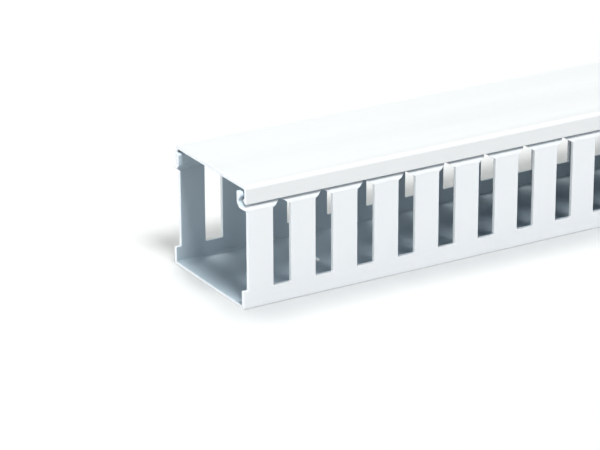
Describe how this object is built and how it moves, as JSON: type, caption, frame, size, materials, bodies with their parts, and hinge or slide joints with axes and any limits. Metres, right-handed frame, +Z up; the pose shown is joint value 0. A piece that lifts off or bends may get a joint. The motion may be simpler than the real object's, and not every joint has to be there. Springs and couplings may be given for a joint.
{
  "type": "slotted wire duct",
  "caption": "Open-slot wiring duct in rigid plastic: a channel with punched finger walls and a clip-on cover that slides along it.",
  "frame": {"origin": "middle of the underside of the floor", "axes": "+X along the duct, +Z up from the floor to the cover, +Y across the duct"},
  "size_m": [1, 0.059, 0.0529],
  "materials": {
    "duct_plastic": "satin",
    "cover_plastic": "satin"
  },
  "bodies": {
    "base": {"duct_base": "duct_plastic"},
    "lid": {"cover": "cover_plastic"}
  },
  "joints": [
    {"name": "cover_slide", "type": "slide", "parent": "base", "child": "lid", "axis": [1, 0, 0], "range_m": [-0.95, 0.95]}
  ]
}
